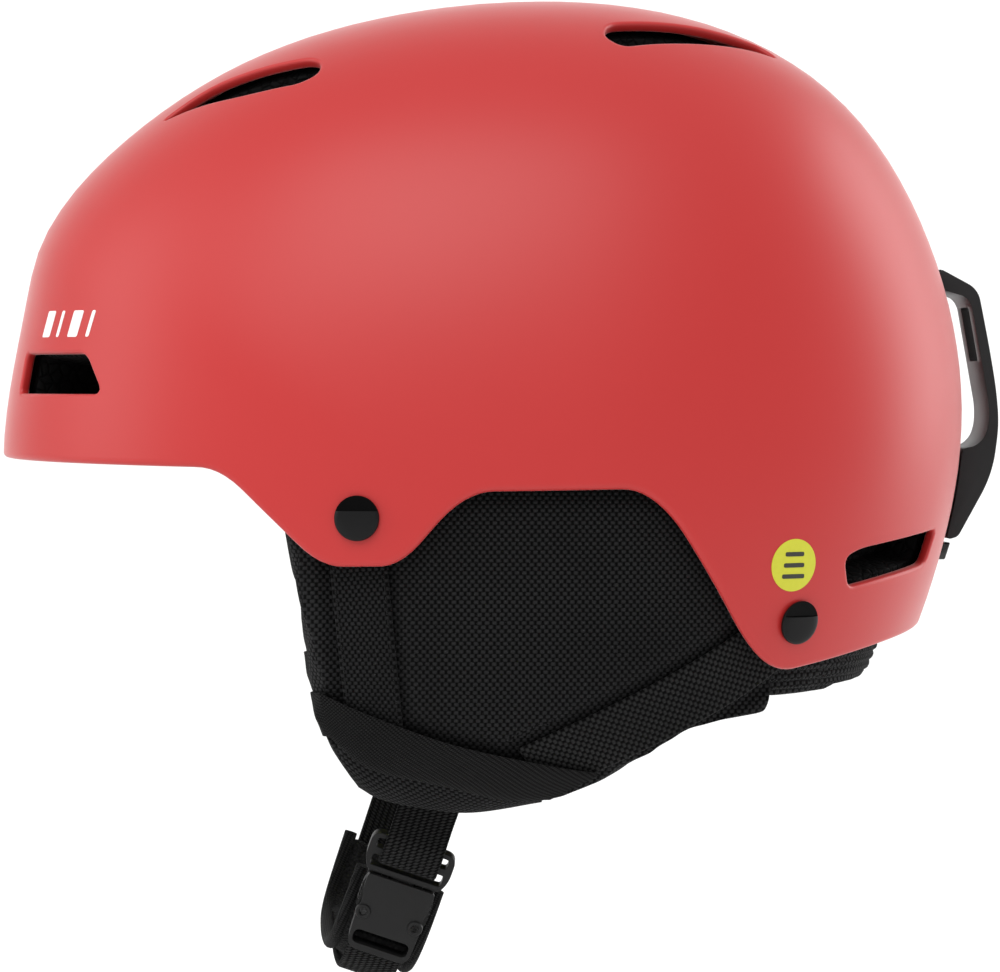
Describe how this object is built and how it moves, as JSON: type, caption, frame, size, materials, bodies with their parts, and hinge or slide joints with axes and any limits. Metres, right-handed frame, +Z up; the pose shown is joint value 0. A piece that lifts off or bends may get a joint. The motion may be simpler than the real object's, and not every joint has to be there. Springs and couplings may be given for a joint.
{
  "type": "ski helmet",
  "caption": "Hard-shell ski helmet with foam liner, snap-in ear pads, vents, goggle strap clip and a padded chin strap with side-release buckle.",
  "frame": {"origin": "middle of the head opening between the ear pads, level with the lower edge of the brow", "axes": "+Z up through the crown, -Y to the front of the helmet, +X to the wearer's left"},
  "size_m": [0.2152, 0.2845, 0.2782],
  "materials": {
    "shell_red": "matte",
    "foam": "matte bead foam",
    "liner_film": "satin",
    "clip_plastic": "fine matte",
    "catch_plastic": "glossy",
    "fit_plastic": "matte",
    "buckle_plastic": "fine matte",
    "cap_plastic": "satin",
    "steel": "satin",
    "rubber": "matte",
    "fabric_weave": "coarse basket weave",
    "binding": "fine plain weave",
    "webbing": "ribbed webbing",
    "fleece": "short fleece",
    "comfort_fabric": "brushed knit"
  },
  "bodies": {
    "helmet": {"outer_shell": "shell_red", "foam_liner": "foam", "neck_roll": "fabric_weave", "clip_bracket": "clip_plastic", "clip_pin": "steel", "clip_catch": "catch_plastic", "slip_anchor_front": "rubber", "slip_anchor_rear": "rubber", "slip_anchor_left": "rubber", "slip_anchor_right": "rubber", "ear_pad_left": "fabric_weave", "ear_pad_plate_left": "fit_plastic", "ear_pad_band_left": "binding", "front_strap_left": "webbing", "rear_strap_left": "webbing", "fit_guide_left": "fit_plastic", "anchor_cap_front_left": "cap_plastic", "anchor_cap_rear_left": "cap_plastic", "anchor_nut_front_left": "steel", "anchor_nut_rear_left": "steel", "ear_pad_right": "fabric_weave", "ear_pad_plate_right": "fit_plastic", "ear_pad_band_right": "binding", "front_strap_right": "webbing", "rear_strap_right": "webbing", "fit_guide_right": "fit_plastic", "anchor_cap_front_right": "cap_plastic", "anchor_cap_rear_right": "cap_plastic", "anchor_nut_front_right": "steel", "anchor_nut_rear_right": "steel"},
    "slip_liner": {"slip_liner": "liner_film", "brow_pad": "comfort_fabric", "crown_pad": "comfort_fabric", "side_pad_left": "comfort_fabric", "side_pad_right": "comfort_fabric", "rear_pad": "comfort_fabric"},
    "fit_cradle": {"fit_cradle": "fit_plastic", "nape_pad": "comfort_fabric"},
    "goggle_clip": {"goggle_clip": "clip_plastic"},
    "left_strap": {"chin_strap_left": "webbing", "buckle_plug": "buckle_plastic"},
    "right_strap_end": {"strap_end_right": "webbing"},
    "right_strap": {"chin_strap_right": "webbing", "chin_pad": "fleece", "buckle_socket": "buckle_plastic"},
    "release_tab_front": {"release_tab_front": "buckle_plastic"},
    "release_tab_rear": {"release_tab_rear": "buckle_plastic"}
  },
  "joints": [
    {"name": "goggle_clip_hinge", "type": "hinge", "parent": "helmet", "child": "goggle_clip", "pos_m": [0, 0.127, 0.0505], "axis": [1, 0, 0], "range_deg": [0, 40]},
    {"name": "slip_liner_turn", "type": "hinge", "parent": "helmet", "child": "slip_liner", "pos_m": [0, 0.01, 0], "axis": [0, 0, 1], "range_deg": [-2, 2], "stiffness_Nm_per_rad": 1},
    {"name": "fit_cradle_slide", "type": "slide", "parent": "helmet", "child": "fit_cradle", "axis": [0, 1, 0], "range_m": [0, 0.01], "stiffness_N_per_m": 150, "springref_m": -0.004},
    {"name": "right_strap_swing", "type": "hinge", "parent": "helmet", "child": "right_strap_end", "pos_m": [-0.064, -0.0189, -0.097], "axis": [1, 0, 0], "range_deg": [-20, 30]},
    {"name": "left_strap_swing", "type": "hinge", "parent": "helmet", "child": "left_strap", "pos_m": [0.064, -0.0189, -0.097], "axis": [1, 0, 0], "range_deg": [-20, 30]},
    {"name": "strap_release", "type": "hinge", "parent": "right_strap_end", "child": "right_strap", "pos_m": [-0.064, -0.0189, -0.097], "axis": [0, 0.9455, -0.3256], "range_deg": [0, 50]},
    {"name": "release_tab_front_press", "type": "slide", "parent": "left_strap", "child": "release_tab_front", "axis": [0, 0.9455, -0.3256], "range_m": [0, 0.0015], "stiffness_N_per_m": 400},
    {"name": "release_tab_rear_press", "type": "slide", "parent": "left_strap", "child": "release_tab_rear", "axis": [0, -0.9455, 0.3256], "range_m": [0, 0.0015], "stiffness_N_per_m": 400}
  ],
  "couplings": [
    {"joint": "left_strap_swing", "follows": "right_strap_swing", "ratio": 1}
  ]
}
